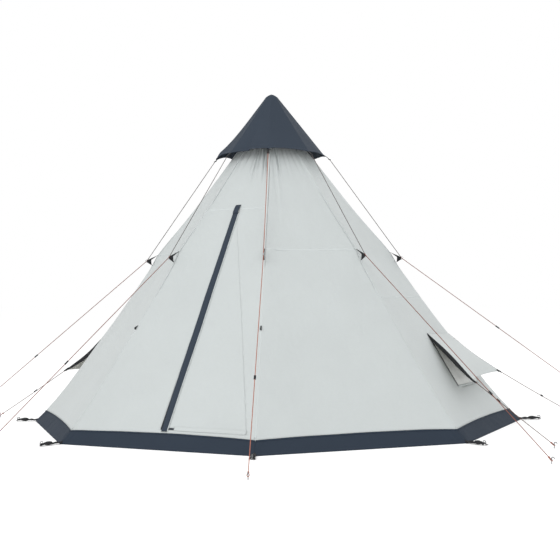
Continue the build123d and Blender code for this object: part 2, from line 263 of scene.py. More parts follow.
polePaint = mouldedMaterial("polePaint", (0.075, 0.078, 0.083), 0.38, metallic=0.3, brushed=(6, 6, 1))
poleRubber = mouldedMaterial("poleRubber", (0.015, 0.015, 0.015), 0.85, grain=160.0)
ventNet = netMaterial("ventNet", (0.86, 0.88, 0.87), thread=0.9)
print("materials done")


# mesh helpers
def addPiece(name, body, shapes, material, replaces=(), smooth=True, thick=None, lining=None, ride=True):
    # one object from a list of shapes, each of them points, faces and uvs
    points, faces, uvs, count = [], [], [], 0
    for somePoints, someFaces, someUv in shapes:
        somePoints = np.asarray(somePoints, float).reshape(-1, 3)
        points.append(somePoints)
        faces += [[i + count for i in face] for face in someFaces]
        uvs.append(np.zeros((len(somePoints), 2)) if someUv is None else np.asarray(someUv, float).reshape(-1, 2))
        count += len(somePoints)
    points, uvs = np.concatenate(points), np.concatenate(uvs)
    mesh = bpy.data.meshes.new(name)
    mesh.from_pydata(points.tolist(), [], faces)
    corner = np.empty(len(mesh.loops), int)
    mesh.loops.foreach_get("vertex_index", corner)
    layer = mesh.uv_layers.new(name="cloth")
    layer.data.foreach_set("uv", uvs[corner].astype(np.float32).ravel())
    mesh.polygons.foreach_set("use_smooth", [smooth] * len(mesh.polygons))
    mesh.materials.append(material)
    piece = addObject(name, mesh)
    if thick:
        wall = piece.modifiers.new("thickness", "SOLIDIFY")
        wall.thickness, wall.offset = thick, -1.0
        if lining:
            mesh.materials.append(lining)
            wall.material_offset = 1
    if ride:
        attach(piece, body)
    if replaces:
        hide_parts(*replaces)
    return piece


def gridFaces(rows, columns, ring=False):
    # four-cornered faces of a grid; ring joins the last column to the first
    wide = columns if ring else columns - 1
    r, c = np.meshgrid(np.arange(rows - 1), np.arange(wide), indexing="ij")
    n = (c + 1) % columns
    return np.stack([r * columns + c, r * columns + n, (r + 1) * columns + n, (r + 1) * columns + c], -1).reshape(-1, 4)


def gridPart(points, uvs=None, ring=False, keep=None):
    rows, columns = points.shape[:2]
    faces = gridFaces(rows, columns, ring)
    if keep is None:
        return points, faces.tolist(), uvs
    faces = faces[keep.ravel()]
    used = np.unique(faces)
    back = np.full(rows * columns, -1)
    back[used] = np.arange(len(used))
    return points.reshape(-1, 3)[used], back[faces].tolist(), uvs.reshape(-1, 2)[used]


def unit(v):
    return v / np.maximum(np.linalg.norm(v, axis=-1, keepdims=True), 1e-12)


def tangents(path):
    return unit(np.gradient(np.asarray(path, float), axis=0))


def sweep(path, side, rise, profile, width=1.0, height=1.0):
    # a closed profile (x, y) carried along a path, x along side and y along rise; the profile turns
    # counter-clockwise, and width and height scale it at each point of the path
    path, profile = np.asarray(path, float), np.asarray(profile, float)
    count, around = len(path), len(profile)
    side, rise = [np.broadcast_to(np.asarray(v, float), path.shape) for v in (side, rise)]
    width, height = [np.broadcast_to(np.asarray(v, float), (count,))[:, None] for v in (width, height)]
    x, y = profile[None, :, 0] * width, profile[None, :, 1] * height
    points = path[:, None] + side[:, None] * x[..., None] + rise[:, None] * y[..., None]
    along = np.concatenate([[0], np.cumsum(np.linalg.norm(np.diff(path, axis=0), axis=1))])
    uvs = np.stack([x, np.broadcast_to(along[:, None], x.shape)], -1)
    faces = gridFaces(count, around, ring=True).tolist()
    faces += [list(range(around))[::-1], list(range((count - 1) * around, count * around))]
    if np.cross(side[0], rise[0]) @ (path[1] - path[0]) < 0:
        faces = [face[::-1] for face in faces]
    return points, faces, uvs


def spread(rows, columns):
    # two parameters from 0 to 1, down the rows and along the columns of a grid
    return np.linspace(0, 1, rows)[:, None], np.linspace(0, 1, columns)[None, :]


def roundProfile(sides):
    a = np.arange(sides) * 2 * math.pi / sides
    return np.stack([np.cos(a), np.sin(a)], 1)


def tapeProfile():
    # a flat tape with rounded edges, one wide and one high, counter-clockwise
    edge = [(-0.5, -0.3), (-0.47, -0.5), (0.47, -0.5), (0.5, -0.3), (0.5, 0.3), (0.47, 0.5), (-0.47, 0.5), (-0.5, 0.3)]
    return np.array(edge)


def tapeOn(path, out, width, thick):
    # a tape that lies on a surface whose outward direction is out
    return sweep(path, unit(np.cross(tangents(path), out)), out, tapeProfile(), width, thick)


def tapeAcross(path, side, width, thick):
    # a tape whose width runs along side
    return sweep(path, side, unit(np.cross(side, tangents(path))), tapeProfile(), width, thick)


def tubeAlong(path, radius, sides=10, near=(0.0, 0.0, 1.0)):
    # a round tube; near is a direction that the path never follows
    t = tangents(path)
    side = unit(np.cross(t, np.asarray(near, float)))
    return sweep(path, side, unit(np.cross(side, t)), roundProfile(sides), radius, radius)


def wireRing(centre, a, b, lean, count, sides, *wire):
    # a closed wire: centre plus a by the cosine and b by the sine of the turn; lean is square to it
    turn = np.linspace(0, 2 * math.pi, count)
    loop = centre + np.outer(np.cos(turn), a) + np.outer(np.sin(turn), b)
    return sweep(loop, unit(loop - loop[:-1].mean(0)), lean, roundProfile(sides), *wire)


def smoothRoute(corners, steps=12):
    # points of a smooth line through a few corners: a cubic from each corner's two neighbours
    corners = np.asarray(corners, float)
    padded = np.concatenate([[2 * corners[0] - corners[1]], corners, [2 * corners[-1] - corners[-2]]])
    t = np.linspace(0, 1, steps, endpoint=False)[:, None]
    p0, p1, p2, p3 = [padded[i:len(padded) - 3 + i][:, None] for i in range(4)]
    line = 0.5 * (2 * p1 + (p2 - p0) * t + (2 * p0 - 5 * p1 + 4 * p2 - p3) * t**2 + (3 * p1 - p0 - 3 * p2 + p3) * t**3)
    return np.concatenate([line.reshape(-1, 3), corners[-1:]])


def routeFrom(base, out, side, places, steps=8):
    # a smooth line through places told as metres out, aside and up from a base
    return smoothRoute([base + out * far + side * aside + up * high for far, aside, high in places], steps)


# the wall's shape, in metres; rise is the cloth's length for each metre of height
tent = {
    "hemRadius": 1.95, "skirtHeight": 0.087, "skirtTopRadius": 1.86, "skirtArch": 0.012,
    "taper": 0.7637, "wallTop": 2.41, "rise": 1.224, "cloth": 0.0018, "columns": 92, "rows": 156,
}
ridgeSag = {"height": [0.087, 0.18, 0.29, 0.48, 0.68, 0.80, 0.97, 1.13],
            "out": [0.0, -0.014, -0.022, -0.020, -0.017, -0.018, -0.011, 0.0]}


def radial(angle):
    a = np.radians(angle)
    return np.stack([np.sin(a), -np.cos(a), 0 * a], -1)


def tangential(angle):
    a = np.radians(angle)
    return np.stack([np.cos(a), np.sin(a), 0 * a], -1)


def polarPoint(radius, angle, height):
    radius, angle, height = np.broadcast_arrays(np.asarray(radius, float), angle, height)
    return radial(angle) * radius[..., None] + up * height[..., None]


def roundGrid(turn, r, z):
    # points at radius r and height z, the turn in radians from the front
    return np.stack(np.broadcast_arrays(r * np.sin(turn), -r * np.cos(turn), z), -1)


def clothUv(x, z):
    return np.stack([x, z * tent["rise"]], -1)


def ridgeLine(z):
    return tent["skirtTopRadius"] - tent["taper"] * (z - tent["skirtHeight"])


def ridgePull(z):
    # how far a ridge leaves its straight line: out at the guy's patch, slightly in below it
    reach = np.where(z > 1.34, 0.22, 0.10)
    return 0.027 * np.exp(-(((z - 1.34) / reach) ** 2)) + np.interp(z, ridgeSag["height"], ridgeSag["out"])


def halfWidth(z):
    return math.sin(halfAngle) * ridgeLine(z)


def normalOf(angle):
    return unit(radial(angle) + up * math.cos(halfAngle) * tent["taper"])


def makePleats():
    # each face's folds below the cap: place across at the cap's hem, lean, width, depth, lower end
    chosen = {
        0: [(0.045, 0.10, 0.008, 0.007, 1.88), (0.078, 0.16, 0.006, 0.015, 1.80), (0.102, 0.17, 0.006, 0.017, 1.74),
            (0.088, 0.30, 0.006, 0.007, 1.88), (0.122, 0.10, 0.005, 0.013, 1.72), (-0.05, -0.12, 0.009, 0.004, 1.94),
            (-0.10, -0.05, 0.007, 0.005, 1.90), (0.0, 0.02, 0.009, 0.009, 1.86), (0.022, 0.06, 0.007, 0.012, 1.83)],
        45: [(-0.098, -0.02, 0.011, 0.010, 1.50), (-0.072, 0.04, 0.006, 0.014, 1.88), (-0.01, 0.05, 0.010, 0.004, 1.86),
             (0.06, 0.10, 0.010, 0.004, 1.90), (0.105, 0.06, 0.007, 0.004, 1.86)],
    }
    for angle in (90, 135, 180, -135, -90, -45):
        rows = []
        for k in range(7):
            across = -0.115 + 0.038 * k + dice.uniform(-0.012, 0.012)
            rows.append((across, dice.uniform(-0.12, 0.12), dice.uniform(0.006, 0.010),
                         dice.uniform(0.004, 0.007), dice.uniform(1.74, 1.92)))
        chosen[angle] = rows
    return chosen


pleats = makePleats()
phases = {angle: dice.uniform(0, 2 * math.pi, 6) for angle in pleats}


def star(fromRidge, z, height, reach, rays, phase):
    # creases that fan out from a point of the ridge: a cosine of the turn, dying with distance
    far = np.hypot(fromRidge, (z - height) * 1.2)
    turn = np.arctan2(z - height, fromRidge + 0.01)
    return np.exp(-far / reach) * np.cos(rays * turn + phase)


def wrinkle(angle, x, z):
    # height of the cloth's folds above the flat face, from metres across and metres high: slow swells,
    # gaussian pleats that hang from the cap, creases round the guy's patch and above the skirt's corners
    u = np.clip(x / halfWidth(z), -1, 1)
    p = phases[angle]
    swell = 0.0045 * np.sin(2.6 * z + 2.2 * u + p[0]) * np.sin(1.7 * z - 1.5 * u + p[1])
    swell += 0.0022 * np.sin(7.3 * z + 4.5 * u + p[2]) * np.sin(3.1 * z - 6.0 * u + p[3])
    height = swell - 0.006 * (1 - u**2) * np.sin(math.pi * np.clip(z / 2.3, 0, 1))
    for across, lean, width, depth, end in pleats[angle]:
        reach = np.clip((z - end) / max(0.05, 2.02 - end), 0, 1) ** 1.3
        line = across * (0.45 + 0.55 * (halfWidth(z) / 0.123)) - lean * (z - 2.1)
        away = (x - line) / (width * (1 + 0.6 * (2.1 - np.minimum(z, 2.1))))
        height = height + depth * reach * (-np.exp(-(away**2)) + 0.7 * np.exp(-((away - 1.9) ** 2)))
    fromRidge = halfWidth(z) - np.abs(x)
    height = height + 0.0035 * star(fromRidge, z, 1.30, 0.16, 6, p[4])
    height = height + 0.0040 * star(fromRidge, z, 0.09, 0.22, 7, p[5])
    return height * (1 - np.abs(u) ** 8)


def wallPoint(angle, x, z, lift=0.0):
    # a point of the wall: straight between two ridges, the ridges pulled by the guys, folds on top
    u = np.clip(x / halfWidth(z), -1.0, 1.0)
    pulled = ridgePull(z) * np.abs(u) ** 3
    out = math.cos(halfAngle) * (ridgeLine(z) + pulled)
    across = x + math.sin(halfAngle) * pulled * u
    base = tangential(angle) * across[..., None] + radial(angle) * out[..., None] + up * z[..., None]
    return base + normalOf(angle) * (wrinkle(angle, x, z) + lift)[..., None]


def skirtTop(u):
    # the skirt's upper edge, from -1 to 1 across a face: an arch over a line 6 mm below its height
    return tent["skirtHeight"] - 0.006 + tent["skirtArch"] * (1 - u**2)


def stripOn(angle, x, z, width, lift, thick):
    # a narrow tape laid on the wall along (x, z)
    path = wallPoint(angle, np.asarray(x, float), np.asarray(z, float), lift)
    return tapeOn(path, normalOf(angle), width, thick)


def inPolygon(x, z, corners):
    inside = np.zeros(np.shape(x), bool)
    for (x0, z0), (x1, z1) in zip(corners, corners[1:] + corners[:1]):
        crosses = (z0 > z) != (z1 > z)
        at = x0 + (x1 - x0) * (z - z0) / (z1 - z0 if z1 != z0 else 1e-9)
        inside ^= crosses & (x < at)
    return inside


def cutHole(x, z, corners):
    # faces outside the outline are kept, and the grid's points along it are moved onto it
    middle = [(g[:-1, :-1] + g[1:, :-1] + g[:-1, 1:] + g[1:, 1:]) / 4 for g in (x, z)]
    gone = inPolygon(*middle, corners)
    touched, kept = np.zeros(x.shape, bool), np.zeros(x.shape, bool)
    for mask, flags in ((gone, touched), (~gone, kept)):
        for dr in (0, 1):
            for dc in (0, 1):
                flags[dr:dr + mask.shape[0], dc:dc + mask.shape[1]] |= mask
    rim = touched & kept
    rx, rz = x[rim], z[rim]
    best, bx, bz = np.full(rx.shape, 1e9), rx.copy(), rz.copy()
    for (x0, z0), (x1, z1) in zip(corners, corners[1:] + corners[:1]):
        d = np.array([x1 - x0, z1 - z0])
        t = np.clip(((rx - x0) * d[0] + (rz - z0) * d[1]) / (d @ d), 0, 1)
        px, pz = x0 + t * d[0], z0 + t * d[1]
        far = np.hypot(rx - px, rz - pz)
        closer = far < best
        best, bx, bz = np.where(closer, far, best), np.where(closer, px, bx), np.where(closer, pz, bz)
    for cx, cz in corners:
        nearest = np.argmin(np.hypot(rx - cx, rz - cz))
        bx[nearest], bz[nearest] = cx, cz
    x, z = x.copy(), z.copy()
    x[rim], z[rim] = bx, bz
    return x, z, ~gone


# door and storm flap, as metres across the front face and up
door = {"foot": 0.125, "top": 1.636, "edge": 0.0065, "foldFoot": (0.6253, 0.1315), "foldTop": (0.0065, 1.6217)}
stripe = {"left": -0.0140, "right": 0.0300, "foot": 0.106, "top": 1.622, "lift": 0.010, "cloth": 0.0022}
zipper = {"width": 0.0062, "pitch": 0.0042, "tooth": (0.0019, 0.0012, 0.0011), "foot": 0.1255}
doorway = [
    (-door["edge"], door["foot"] - door["edge"]), (0.634, door["foot"] - door["edge"]),
    (door["foldFoot"][0] + 0.001, door["foldFoot"][1]), (door["foldTop"][0] + 0.0005, 1.6235),
    (-door["edge"], door["top"]),
]


def makeWalls():
    names = {0: "door_surround", 45: "gore_front_right", 90: "gore_right", 135: "gore_back_right",
             180: "gore_back", -135: "gore_back_left", -90: "gore_left", -45: "gore_front_left"}
    holes = {0: doorway, **{face: ventHole for face, _ in hoods.values()}}
    slope = math.hypot(1.0, math.cos(halfAngle) * tent["taper"])
    u = np.linspace(-1, 1, tent["columns"])[None, :]
    v = np.linspace(0, 1, tent["rows"])[:, None]
    for angle, node in names.items():
        z = skirtTop(u) * (1 - v) + tent["wallTop"] * v
        x, keep, cut = u * halfWidth(z), None, 0.0
        if angle in holes:
            outline = holes[angle]
            x, z, keep = cutHole(x, z, outline)
            rolled = outline[1:] + outline[:1]
            cut = abs(sum(a[0] * b[1] - a[1] * b[0] for a, b in zip(outline, rolled))) / 2 * slope
        shape = gridPart(wallPoint(angle, x, z), np.stack([x, z * slope], -1), keep=keep)
        piece = addPiece(f"{node.replace('gore', 'wall')}_cloth", "tent", [shape], paleCloth, [node],
                         thick=tent["cloth"])


def makeSeams():
    # felled seams: a tape over each ridge and one across each face
    strips = []
    profile = np.array([(-1.0, -0.82), (0.0, -0.12), (1.0, -0.82), (0.0, 0.10)])
    z = np.linspace(0.095, 2.14, 150)
    for angle in 22.5 + 45 * np.arange(8):
        path = polarPoint(ridgeLine(z) + ridgePull(z) + 0.0004, angle, z)
        strips.append(sweep(path, tangential(angle), unit(radial(angle) + up * tent["taper"]), profile, 0.010, 0.005))
    heights = {0: 1.655, 45: 1.335, 90: 0.98, 135: 1.335, 180: 0.98, -135: 1.335, -90: 0.98, -45: 1.335}
    for angle, high in heights.items():
        reach = halfWidth(high) - 0.012
        strips.append(stripOn(angle, np.linspace(-reach, reach, 90), np.full(90, high), 0.014, 0.0002, 0.0008))
    addPiece("wall_seams", "tent", strips, seamCloth)


def makeDoor():
    # the leaf continues the wall's own surface as far as its fold, and lies half a millimetre over the wall's edge
    # there
    edge, (footX, footZ), (topX, topZ) = door["edge"], door["foldFoot"], door["foldTop"]
    v, w = spread(120, 60)
    z = footZ + (topZ - 0.004 - footZ) * v
    fold = footX + (topX - footX) * (z - footZ) / (topZ - footZ)
    x = edge + (fold + 0.004 - edge) * w
    z = np.broadcast_to(z, x.shape)
    under = 0.0005 * np.clip((x - fold + 0.003) / 0.003, 0, 1)
    leaf = addPiece("door_leaf_cloth", "door_leaf", [gridPart(wallPoint(0, x, z, under), clothUv(x, z))], paleCloth,
                    ["door_leaf"], thick=tent["cloth"])
    guard = np.linspace(0.100, footX + 0.006, 60)  # the tape sewn along the leaf's foot
    trims = [stripOn(0, guard, np.full(60, footZ - 0.004), 0.030, 0.0018, 0.0012)]
    addPiece("door_leaf_trim", "door_leaf", trims, paleCloth)


def makeStormFlap():
    # sewn along its right edge and bowed over the zip: a sixth power falls to the seam, a fifth to the free edge
    foot, top = stripe["foot"], stripe["top"]
    v, w = spread(150, 15)
    left, right = stripe["left"] + 0.024 * (1 - v) ** 3, stripe["right"] + 0.022 * (1 - v) ** 1.2
    x = left + (right - left) * w
    z = foot + (top - foot) * v + 0 * w
    ripple = 0.0010 * np.sin(z * 31.0 + 3.0 * w) * np.sin(z * 12.0)
    lift = stripe["lift"] - 0.0075 * w**6 - 0.004 * (1 - w) ** 5 + ripple
    flap = addPiece("storm_flap_cloth", "door_leaf", [gridPart(wallPoint(0, x, z, lift), clothUv(x, z))], navyCloth,
                    ["storm_flap"], thick=stripe["cloth"])
    piping = [stripOn(0, right[:, 0] + 0.0030, np.linspace(foot, top, 150), 0.006, 0.0034, 0.0030)]
    addPiece("storm_flap_piping", "door_leaf", piping, paleWebbing)
    # the small hood at the zip's top end, sewn to the wall: a fourth power falls to its upper edge
    v, w = spread(16, 15)
    x = stripe["left"] + (stripe["right"] - stripe["left"]) * w + 0 * v
    z = 1.612 + 0.072 * v + 0 * w
    lift = 0.0135 * (1 - v**4) * (1 - 0.25 * (2 * w - 1) ** 4) + 0.0012
    addPiece("zip_hood", "tent", [gridPart(wallPoint(0, x, z, lift), np.stack([x, z], -1))], navyCloth,
             thick=stripe["cloth"])


def makeZip():
    # tape and coil on both sides of the channel: name, body, side, top, tape's foot and ends, half a tooth
    pitch, wide = zipper["pitch"], zipper["width"]
    for name, body, side, top, foot, ends, shift in (
            ("door_zip", "tent", -1, 1.633, 0.1225, (-0.006, 0.626), 0),
            ("leaf_zip", "door_leaf", 1, 1.572, 0.1285, (0.006, 0.600), pitch / 2)):
        z = np.arange(0.130, top - 0.004, pitch) + shift
        x = np.arange(0.008, 0.590, pitch) + shift
        addPiece(name + "_coil", body, [
            stripOn(0, np.full(200, side * 0.0058), np.linspace(0.123, top, 200), wide, -0.0022, 0.0011),
            stripOn(0, np.linspace(*ends, 80), np.full(80, foot), wide, -0.0012, 0.0014),
            teethOn(np.full(len(z), side * 0.0024), z, along=False),
            teethOn(x, np.full(len(x), zipper["foot"] + side * 0.0012), along=True),
        ], zipTape, [name], smooth=False)


def teethOn(x, z, along):
    # small blocks on the wall at (x, z), long across the zip
    centres, normal, side = wallPoint(0, x, z, -0.0012), normalOf(0), tangential(0.0)
    rise = np.cross(normal, side)
    long, wide = (rise, side) if along else (side, rise)
    corners = np.array([(a, b, c) for c in (-1, 1) for a, b in ((-1, -1), (1, -1), (1, 1), (-1, 1))], float)
    shape = corners * np.array(zipper["tooth"])
    points = centres[:, None] + shape[None, :, :1] * long + shape[None, :, 1:2] * wide + shape[None, :, 2:] * normal
    cube = np.array([(0, 3, 2, 1), (4, 5, 6, 7), (0, 1, 5, 4), (1, 2, 6, 5), (2, 3, 7, 6), (3, 0, 4, 7)])
    if along:
        cube = cube[:, ::-1]
    faces = (np.arange(len(centres))[:, None, None] * 8 + cube[None]).reshape(-1, 4)
    return points, faces.tolist(), None


# skirt and groundsheet; the pleats beside each corner are place, width and depth in metres
skirt = {"cloth": 0.0025, "flat": (11.9, 0.150),
         "pleats": [(0.022, 0.007, -0.0055), (0.040, 0.008, 0.0050), (0.060, 0.007, -0.0040), (0.085, 0.012, 0.0030)]}
groundsheet = {"radius": 1.902, "cloth": 0.0010, "flat": (3.66, 3.66), "area": 11.2,
               "folds": (-1.2, -0.6, 0.02, 0.6, 1.2)}


def faceTurn(turn):
    # a turn in radians measured from the middle of its own face
    return (turn + halfAngle) % (2 * halfAngle) - halfAngle


def makeSkirt():
    # flat between the hem on the ground and the wall's foot, with gaussian pleats by the corners and
    # slow waves across; both fade to nothing at the hem, the seam and the corners
    panels, hems = [], []
    v = np.linspace(0, 1, 14)[:, None]
    for k in range(8):
        angle = 45 * k if k <= 4 else 45 * k - 360
        u = np.linspace(-1, 1, 110)[None, :]
        topZ = skirtTop(u)
        top = wallPoint(angle, u * halfWidth(topZ), topZ, 0.0012)
        foot = tangential(angle) * (u * tent["hemRadius"] * math.sin(halfAngle))[..., None]
        foot = foot + radial(angle) * tent["hemRadius"] * math.cos(halfAngle)
        x = (1 - np.abs(u)) * 0.73
        pleat = sum(d * np.exp(-(((x - at) / w) ** 2)) for at, w, d in skirt["pleats"])
        p = phases[angle]
        wave = 0.0022 * np.sin(u * 5 + p[0]) * np.sin(u * 3 + p[1]) + 0.0005 * np.sin(u * 17 + 3 * np.sin(u * 4) + p[2])
        lift = (pleat * (0.25 + 0.75 * v) + wave) * np.sin(math.pi * v) ** 0.8 * (1 - np.abs(u) ** 40)
        points = foot * (1 - v[..., None]) + top * v[..., None]
        points = points + unit(radial(angle) + up * 0.95) * lift[..., None]
        panels.append(gridPart(points, np.stack([u * 0.74 + 0 * v, v * 0.125 + 0 * u], -1)))
        u = np.linspace(-0.997, 0.997, 110)
        z = skirtTop(u)
        hems.append(tapeOn(wallPoint(angle, u * halfWidth(z), z, 0.0026), normalOf(angle), 0.011, 0.0022))
    piece = addPiece("skirt_cloth", "tent", panels, skirtCloth, ["skirt"], thick=skirt["cloth"])
    addPiece("skirt_seam", "tent", hems, skirtCloth)


def makeGroundsheet():
    # flat on the ground, its rim turned up inside the skirt, with gaussian fold lines and slow waves
    turn = np.linspace(0, 2 * math.pi, 193)[:-1]
    s = np.concatenate([np.linspace(0.004, 1, 60), np.full(6, 1.0)])[:, None]
    rim = np.concatenate([np.zeros(60), np.linspace(0.012, 0.062, 6)])[:, None]
    r = (groundsheet["radius"] - 0.85 * rim) * s * math.cos(halfAngle) / np.cos(faceTurn(turn))[None, :]
    x, y = r * np.sin(turn), -r * np.cos(turn)
    creases = sum(np.exp(-(((w - at) / 0.012) ** 2)) for w in (x, y) for at in groundsheet["folds"])
    uneven = 0.0022 * creases + 0.0012 * (1 + np.sin(9 * x + 1) * np.sin(8 * y))
    z = 0.0032 + rim + uneven * (rim == 0) * np.clip((1 - s) * 20, 0, 1)
    points, faces, uvs = gridPart(np.stack([x, y, z], -1), np.stack([x, y], -1), ring=True)
    faces = [face[::-1] for face in faces] + [list(range(len(turn)))]  # one small face closes the middle
    piece = addPiece("groundsheet_cloth", "tent", [(points, faces, uvs)], floorCloth,
                     ["groundsheet"], thick=groundsheet["cloth"])


# cap and the cone under it, in metres
cap = {
    "hemRadius": 0.429, "hemHeight": 2.111, "tipHeight": 2.617, "tipRadius": 0.030, "arch": 0.009, "cornerDrop": 0.003,
    "cloth": 0.0022, "flat": (0.96, 0.96), "area": 0.87, "tabReach": 0.462, "tabHeight": 2.085, "columns": 320,
}
collar = {"foot": 0.0862, "top": 0.0285, "tall": 0.144, "cloth": 0.002, "flat": (0.36, 0.155), "area": 0.055}


def eightSided(turn, sharpness):
    # radius factor of an eight-sided outline with corners at 22.5 degrees, softened towards a circle
    return (1 - sharpness) * 0.97 + sharpness * math.cos(halfAngle) / np.cos(faceTurn(turn))


def capPoint(turn, s, lift=0.0):
    # s runs from the tip to the hem: a straight cone, round at the tip and eight-sided below, its hem
    # arched between the corners and drawn up by the front ridge, with slack folds that hang from the
    # tip, and with the left front corner pulled out and curled under
    face = faceTurn(turn)
    k = face / halfAngle
    radius = cap["tipRadius"] * np.sqrt(np.clip(s / 0.045, 0, 1)) * (1 - s) + cap["hemRadius"] * s
    rise = cap["tipHeight"] - (cap["tipHeight"] - cap["hemHeight"]) * s
    rise = rise + cap["arch"] * (1 - k**2) * s**5 - cap["cornerDrop"] * np.abs(k) ** 12 * s**8
    rise = rise + 0.016 * np.exp(-(((turn - halfAngle) / 0.6) ** 2)) * s**5
    faceNumber = np.round((turn - face) / (2 * halfAngle))
    fold = 0.0042 * np.sin(turn * 5 + 2.6 * np.sin(2 * turn + 1.0) + 3 * s) * s**1.5
    fold += 0.0026 * np.sin(turn * 13 + 2.4 * np.sin(3 * turn) + 0.7 * faceNumber) * s**2 * (1 - np.abs(k) ** 6)
    pulled = (turn + math.radians(67.5) + math.pi) % (2 * math.pi) - math.pi
    corner = np.exp(-((pulled / 0.16) ** 2))
    fold = fold + 0.024 * corner * np.clip(s / 0.95, 0, 1) ** 5
    rise = rise + 0.016 * np.exp(-((pulled / 0.5) ** 2)) * s**5 - 0.026 * corner * np.clip((s - 0.93) / 0.07, 0, 1)
    slack = -0.010 * (1 - k**2) * np.sin(math.pi * np.clip(s, 0, 1))
    sharpness = np.clip(s / 0.22, 0, 1) ** 0.7 * (0.45 + 0.55 * s**4)
    r = (radius + (fold + slack + lift) * np.clip(s / 0.1, 0, 1)) * eightSided(turn, sharpness)
    return roundGrid(turn, r, rise + lift * 0.6)


def makeCap():
    turn = np.linspace(0, 2 * math.pi, cap["columns"], endpoint=False)[None, :]
    s = np.concatenate([[0.0015], np.linspace(0.006, 0.05, 8), np.linspace(0.06, 1.0, 78)])[::-1, None]
    uvs = np.stack([turn * 0.43 * s, 0.68 * (1 - s) + 0 * turn], -1)
    points, faces, uvs = gridPart(capPoint(turn + 0 * s, s + 0 * turn), uvs, ring=True)
    faces.append(list(range((len(s) - 1) * cap["columns"], len(s) * cap["columns"])))  # closes the tip
    cloth = addPiece("cap_cloth", "tent", [(points, faces, uvs)], navyCloth, ["cap"], thick=cap["cloth"])
    turn = np.linspace(0, 2 * math.pi, 481)
    out = unit(roundGrid(turn, 1.0, 0.84))
    hem = tapeOn(capPoint(turn, np.full(481, 0.985), 0.0006), out, 0.018, 0.0020)
    addPiece("cap_seams", "tent", [hem], navyCloth)
    tabs, low = [], cap["hemHeight"]
    for angle, *_ in guys.values():
        out, side = radial(angle), tangential(angle)
        down = unit(out - up * 0.3)
        route = routeFrom(up * low, out, side, [
            (0.412, 0, 0.012), (0.436, 0, -0.004), (0.449, 0, -0.015), (0.459, 0, -0.025)])
        tabs.append(tapeAcross(route, side, 0.018, 0.0028))
        tabs.append(wireRing(polarPoint(0.461, angle, low - 0.026), side * 0.011, down * 0.009,
                             unit(np.cross(side, down)), 25, 8, 0.0022, 0.0022))
    addPiece("cap_tab_webbing", "tent", tabs, blackWebbing, ["cap_tabs"])


def makeCollar():
    # the cone sewn round the pole's top: its radius falls by a power, and gathers deepen upwards
    turn = np.linspace(0, 2 * math.pi, 160, endpoint=False)[None, :]
    v = np.linspace(0, 1, 26)[:, None]
    fall = (1 - v) ** 1.25
    radius = collar["foot"] * fall + collar["top"] * (1 - fall) + 0.0018 * np.sin(turn * 26) * v
    points = roundGrid(turn, radius * eightSided(turn, 1 - v), tent["wallTop"] + collar["tall"] * v)
    shape = gridPart(points, np.stack([turn * 0.06 + 0 * v, v * 0.15 + 0 * turn], -1), ring=True)
    piece = addPiece("apex_collar_cloth", "tent", [shape], navyCloth, ["apex_collar"],
                     thick=collar["cloth"])


# patches on the ridges: the ring's height, its reach from the ridge, the webbing's half thickness, loops
patch = {"ringHeight": 1.288, "ringReach": 0.083, "thick": 0.0045, "loopHeight": 0.778}


def makePatches():
    # flat fins that stand out from a ridge, their edges rounded by a smaller outline on each side
    def wall(z, out):
        return ridgeLine(z) + ridgePull(z) + out, z

    tip = ridgeLine(patch["ringHeight"]) + patch["ringReach"]
    fin = [wall(1.338, -0.004), wall(1.330, 0.006), (tip - 0.036, 1.297), (tip - 0.036, 1.284), wall(1.258, 0.008),
           wall(1.250, -0.004), (tip - 0.004, 1.276), (tip + 0.002, 1.288), (tip - 0.010, 1.299)]
    loop = [wall(patch["loopHeight"] + above, out) for above, out in (
        (0.016, -0.003), (0.010, 0.004), (0.0, 0.006), (-0.012, 0.003), (-0.018, -0.003), (-0.010, 0.012),
        (-0.002, 0.019), (0.006, 0.014))]
    shapes = []
    for angle, *_ in guys.values():
        for corners in [fin, loop] if abs(angle) < 45 else [fin]:
            outline = np.array(corners)
            middle, count = outline.mean(0), len(outline)
            layers = []
            for shift, shrink in ((-1.0, 0.94), (-0.6, 1.0), (0.6, 1.0), (1.0, 0.94)):
                inner = middle + (outline - middle) * shrink
                aside = tangential(angle) * shift * patch["thick"]
                layers.append(radial(angle) * inner[:, :1] + up * inner[:, 1:] - aside)
            faces = gridFaces(4, count, ring=True).tolist()
            faces += [list(range(count))[::-1], list(range(3 * count, 4 * count))]
            area = sum(outline[i - 1, 0] * outline[i, 1] - outline[i, 0] * outline[i - 1, 1] for i in range(count))
            if area < 0:
                faces = [face[::-1] for face in faces]
            shapes.append((np.stack(layers), faces, np.broadcast_to(outline, (4, count, 2))))
    addPiece("guy_patch_webbing", "tent", shapes, blackWebbing, ["guy_patches"], smooth=False)


# vents: corners across the face and up, each hood's face and opening angle, and for each guy its hood,
# the hood's corner, the peg's radius and angle, the runner's share of the way and the cord's length
hoodShape = [(0.0, 0.702), (-0.400, 0.238), (0.460, 0.275), (0.520, 0.680)]
hoodSheet = {"cloth": 0.0020, "flat": (0.86, 0.52), "area": 0.375, "webbing": 0.030}
ventHole = [(0.004, 0.688), (-0.092, 0.326), (0.440, 0.318), (0.492, 0.655)]
hoods = {"right": (90, 19.5), "left": (-90, 19.5)}
ventGuys = {
    "right": ("right", 1, 2.500, 72, 0.30, 0.796), "back_right": ("right", 2, 2.500, 128, 0.64, 1.157),
    "left": ("left", 2, 2.340, -74, 0.45, 0.670), "back_left": ("left", 1, 2.500, -108, 0.60, 0.796),
}
cordWidth, pegTop = 0.005, 0.020


def flatPoint(angle, x, z, out):
    # a point off the flat face between two ridges, before the guys' pull and the folds
    base = tangential(angle) * x + radial(angle) * math.cos(halfAngle) * ridgeLine(z) + up * z
    return base + normalOf(angle) * out


